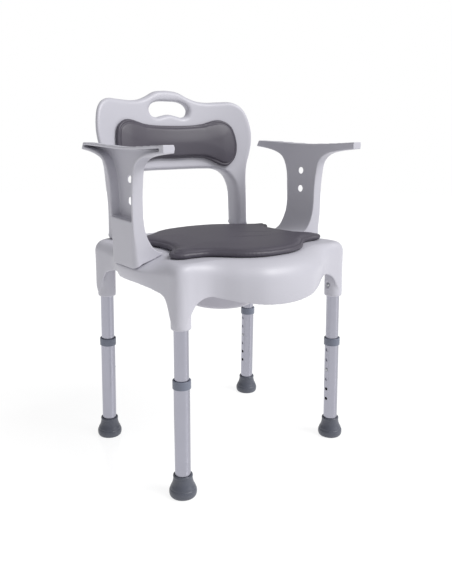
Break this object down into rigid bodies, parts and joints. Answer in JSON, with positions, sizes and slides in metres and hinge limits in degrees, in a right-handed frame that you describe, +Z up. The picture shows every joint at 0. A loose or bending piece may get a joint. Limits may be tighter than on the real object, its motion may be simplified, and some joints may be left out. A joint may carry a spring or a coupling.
{
  "type": "shower stool",
  "caption": "Padded shower and commode chair with a moulded seat, lift-off arms and backrest, telescopic aluminium legs and a bucket that slides out at the back.",
  "frame": {"origin": "On the floor, under the middle of the whole stool", "axes": "+Z up, -Y the way the sitter faces, +X to the right as seen from in front of the stool looking along +Y"},
  "size_m": [0.511, 0.48, 0.805],
  "materials": {
    "shell": "injection-moulded polypropylene, satin",
    "tube": "drawn tube, satin anodised",
    "steel": "zinc plated or stainless",
    "rubber": "moulded, matte",
    "pad": "synthetic leather over foam, fine grain",
    "board": "plain",
    "pail": "injection-moulded polypropylene"
  },
  "bodies": {
    "frame": {"seat_shell": "shell", "bucket_rail_left": "pail", "bucket_rail_right": "pail", "rail_screw_left_1": "steel", "rail_screw_left_2": "steel", "rail_screw_right_1": "steel", "rail_screw_right_2": "steel", "upper_tube_front_left": "tube", "button_spring_front_left": "steel", "leg_screw_front_left": "steel", "upper_tube_front_right": "tube", "button_spring_front_right": "steel", "leg_screw_front_right": "steel", "upper_tube_rear_left": "tube", "button_spring_rear_left": "steel", "leg_screw_rear_left": "steel", "upper_tube_rear_right": "tube", "button_spring_rear_right": "steel", "leg_screw_rear_right": "steel"},
    "leg_front_left": {"lower_tube_front_left": "tube", "collar_front_left": "rubber", "foot_front_left": "rubber"},
    "leg_front_right": {"lower_tube_front_right": "tube", "collar_front_right": "rubber", "foot_front_right": "rubber"},
    "leg_rear_left": {"lower_tube_rear_left": "tube", "collar_rear_left": "rubber", "foot_rear_left": "rubber"},
    "leg_rear_right": {"lower_tube_rear_right": "tube", "collar_rear_right": "rubber", "foot_rear_right": "rubber"},
    "button_front_left": {"height_button_front_left": "steel"},
    "button_front_right": {"height_button_front_right": "steel"},
    "button_rear_left": {"height_button_rear_left": "steel"},
    "button_rear_right": {"height_button_rear_right": "steel"},
    "arm_left": {"arm_left": "shell"},
    "arm_right": {"arm_right": "shell"},
    "backrest": {"backrest": "shell", "back_pad": "pad", "back_pad_board": "board"},
    "seat_cushion": {"seat_pad": "pad", "seat_pad_board": "board"},
    "bucket": {"bucket": "pail"}
  },
  "joints": [
    {"name": "height_front_left", "type": "slide", "parent": "frame", "child": "leg_front_left", "axis": [0.016, 0.023, 0.9996], "range_m": [-0.0492, 0.0738], "deforming": ["height_button_front_left"]},
    {"name": "height_front_right", "type": "slide", "parent": "frame", "child": "leg_front_right", "axis": [-0.016, 0.023, 0.9996], "range_m": [-0.0492, 0.0738], "deforming": ["height_button_front_right"]},
    {"name": "height_rear_left", "type": "slide", "parent": "frame", "child": "leg_rear_left", "axis": [0.016, -0.023, 0.9996], "range_m": [-0.0492, 0.0738], "deforming": ["height_button_rear_left"]},
    {"name": "height_rear_right", "type": "slide", "parent": "frame", "child": "leg_rear_right", "axis": [-0.016, -0.023, 0.9996], "range_m": [-0.0492, 0.0738], "deforming": ["height_button_rear_right"]},
    {"name": "press_front_left", "type": "slide", "parent": "frame", "child": "button_front_left", "axis": [-0.9999, 0.0004, 0.016], "range_m": [0, 0.0039], "stiffness_N_per_m": 1500, "springref_m": -0.004, "deforming": ["button_spring_front_left"]},
    {"name": "press_front_right", "type": "slide", "parent": "frame", "child": "button_front_right", "axis": [0.9999, 0.0004, 0.016], "range_m": [0, 0.0039], "stiffness_N_per_m": 1500, "springref_m": -0.004, "deforming": ["button_spring_front_right"]},
    {"name": "press_rear_left", "type": "slide", "parent": "frame", "child": "button_rear_left", "axis": [-0.9999, -0.0004, 0.016], "range_m": [0, 0.0039], "stiffness_N_per_m": 1500, "springref_m": -0.004, "deforming": ["button_spring_rear_left"]},
    {"name": "press_rear_right", "type": "slide", "parent": "frame", "child": "button_rear_right", "axis": [0.9999, -0.0004, 0.016], "range_m": [0, 0.0039], "stiffness_N_per_m": 1500, "springref_m": -0.004, "deforming": ["button_spring_rear_right"]},
    {"name": "arm_left_lift", "type": "slide", "parent": "frame", "child": "arm_left", "axis": [0, 0, 1], "range_m": [0, 0.06]},
    {"name": "arm_right_lift", "type": "slide", "parent": "frame", "child": "arm_right", "axis": [0, 0, 1], "range_m": [0, 0.06]},
    {"name": "backrest_lift", "type": "slide", "parent": "frame", "child": "backrest", "axis": [0, 0, 1], "range_m": [0, 0.07]},
    {"name": "cushion_lift", "type": "slide", "parent": "frame", "child": "seat_cushion", "axis": [0, 0, 1], "range_m": [0, 0.08]},
    {"name": "bucket_slide", "type": "slide", "parent": "frame", "child": "bucket", "axis": [0, 1, 0], "range_m": [0, 0.28]}
  ]
}
